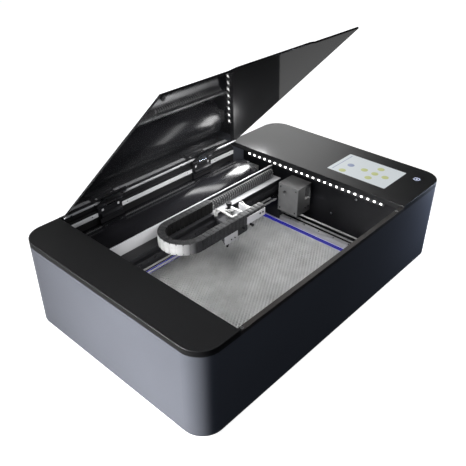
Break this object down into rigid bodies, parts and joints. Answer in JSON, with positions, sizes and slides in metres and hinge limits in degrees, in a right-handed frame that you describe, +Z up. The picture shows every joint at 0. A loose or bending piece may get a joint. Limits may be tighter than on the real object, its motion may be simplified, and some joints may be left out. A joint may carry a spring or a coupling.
{
  "type": "desktop laser cutter",
  "caption": "Desktop laser cutter with an open smoked lid, a belt-driven gantry and head over a honeycomb bed, a touch screen and a start button.",
  "frame": {"origin": "centre of the casing's footprint on the surface it stands on", "axes": "+X along the width towards the touch screen, -Y the front with the finger tab, +Z up"},
  "size_m": [0.826, 0.554, 0.5729],
  "materials": {
    "casing_paint": "satin",
    "dark_steel": "satin",
    "foot_rubber": "matt",
    "black_cover": "satin",
    "black_gloss": "gloss",
    "smoked_glass": "gloss",
    "clear_glass": "gloss",
    "screen_glass": "gloss",
    "led_board": "matt",
    "led_light": "matt",
    "silver": "satin",
    "black_anodised": "satin",
    "honeycomb": "matt",
    "steel": "polished",
    "belt_rubber": "matt",
    "black_plastic": "matt",
    "chain_plastic": "satin",
    "supply_case": "satin",
    "circuit_board": "satin",
    "hose_white": "satin"
  },
  "bodies": {
    "casing": {"casing_wrap": "casing_paint", "base_pan": "dark_steel", "feet": "foot_rubber", "left_top_cover": "black_cover", "right_top_cover": "black_cover", "front_rim": "black_cover", "rear_top_bar": "black_cover", "hinge_rail": "silver", "left_chamber_wall": "dark_steel", "right_chamber_wall": "dark_steel", "led_strips": "led_board", "led_chips": "led_light", "tube_cover": "black_gloss", "laser_tube": "clear_glass", "tube_clamps": "black_plastic", "first_mirror_mount": "silver", "coolant_connections": "hose_white", "exhaust_collar": "black_plastic", "exhaust_fan_frame": "black_plastic", "power_inlet": "black_plastic", "touch_screen": "screen_glass", "start_switch": "black_plastic", "control_board": "circuit_board", "high_voltage_supply": "supply_case", "honeycomb_frame": "silver", "honeycomb_core": "honeycomb", "left_y_rail": "silver", "right_y_rail": "silver", "left_y_belt": "belt_rubber", "right_y_belt": "belt_rubber", "y_motor": "black_anodised", "hinge_body_leaves": "black_anodised"},
    "lid": {"lid_panel": "smoked_glass", "lid_rear_strip": "silver", "hinge_lid_leaves": "black_anodised"},
    "gantry": {"gantry_beam": "black_anodised", "gantry_angle": "silver", "x_rail": "steel", "left_gantry_truck": "black_anodised", "right_gantry_truck": "black_anodised", "x_belt": "belt_rubber", "x_motor": "black_anodised", "second_mirror_housing": "silver", "cable_bundle": "black_plastic", "chain_rear_leg": "chain_plastic"},
    "x_drive_pulley": {"x_drive_pulley": "steel"},
    "x_idler_pulley": {"x_idler_pulley": "steel"},
    "chain_bend": {"chain_bend": "chain_plastic"},
    "head": {"head_carriage": "black_anodised", "head_body": "black_anodised", "head_front_plate": "silver", "chain_bracket": "silver", "chain_front_leg": "chain_plastic"},
    "lens_tube": {"lens_tube": "black_anodised"},
    "y_drive_shaft": {"y_drive_shaft": "steel"},
    "left_y_idler": {"left_y_idler": "steel"},
    "right_y_idler": {"right_y_idler": "steel"},
    "start_button": {"start_button": "black_gloss"},
    "power_rocker": {"power_rocker": "black_gloss"},
    "exhaust_fan_rotor": {"exhaust_fan_rotor": "black_plastic"}
  },
  "joints": [
    {"name": "lid_hinge", "type": "hinge", "parent": "casing", "child": "lid", "pos_m": [0, 0.2487, 0.2025], "axis": [-1, 0, 0], "range_deg": [-45.9, 14.1]},
    {"name": "gantry_slide", "type": "slide", "parent": "casing", "child": "gantry", "axis": [0, 1, 0], "range_m": [-0.24, 0.008]},
    {"name": "carriage_slide", "type": "slide", "parent": "gantry", "child": "head", "axis": [1, 0, 0], "range_m": [-0.27, 0.155], "deforming": ["chain_front_leg"]},
    {"name": "chain_bend_slide", "type": "slide", "parent": "gantry", "child": "chain_bend", "axis": [1, 0, 0], "range_m": [-0.136, 0.078], "deforming": ["chain_rear_leg"]},
    {"name": "lens_focus_slide", "type": "slide", "parent": "head", "child": "lens_tube", "axis": [0, 0, 1], "range_m": [-0.012, 0.005]},
    {"name": "y_drive_spin", "type": "hinge", "parent": "casing", "child": "y_drive_shaft", "pos_m": [0, 0.17, 0.072], "axis": [1, 0, 0], "continuous": true},
    {"name": "left_y_idler_spin", "type": "hinge", "parent": "casing", "child": "left_y_idler", "pos_m": [-0.319, -0.235, 0.072], "axis": [1, 0, 0], "continuous": true},
    {"name": "right_y_idler_spin", "type": "hinge", "parent": "casing", "child": "right_y_idler", "pos_m": [0.2214, -0.235, 0.072], "axis": [1, 0, 0], "continuous": true},
    {"name": "x_drive_spin", "type": "hinge", "parent": "gantry", "child": "x_drive_pulley", "pos_m": [-0.339, 0.08, 0.1159], "axis": [0, 0, 1], "continuous": true},
    {"name": "x_idler_spin", "type": "hinge", "parent": "gantry", "child": "x_idler_pulley", "pos_m": [0.19, 0.08, 0.1159], "axis": [0, 0, 1], "continuous": true},
    {"name": "start_button_push", "type": "slide", "parent": "casing", "child": "start_button", "axis": [0, 0, -1], "range_m": [0, 0.0015], "stiffness_N_per_m": 600, "springref_m": -0.002},
    {"name": "power_rocker_tilt", "type": "hinge", "parent": "casing", "child": "power_rocker", "pos_m": [0.34, 0.2575, 0.0727], "axis": [1, 0, 0], "range_deg": [0, 24]},
    {"name": "exhaust_fan_spin", "type": "hinge", "parent": "casing", "child": "exhaust_fan_rotor", "pos_m": [-0.12, 0.235, 0.062], "axis": [0, 1, 0], "continuous": true}
  ],
  "couplings": [
    {"joint": "chain_bend_slide", "follows": "carriage_slide", "ratio": 0.5},
    {"joint": "x_drive_spin", "follows": "carriage_slide", "rad_per_m": -156.25},
    {"joint": "x_idler_spin", "follows": "carriage_slide", "rad_per_m": -156.25},
    {"joint": "y_drive_spin", "follows": "gantry_slide", "rad_per_m": -156.25},
    {"joint": "left_y_idler_spin", "follows": "gantry_slide", "rad_per_m": -156.25},
    {"joint": "right_y_idler_spin", "follows": "gantry_slide", "rad_per_m": -156.25}
  ]
}
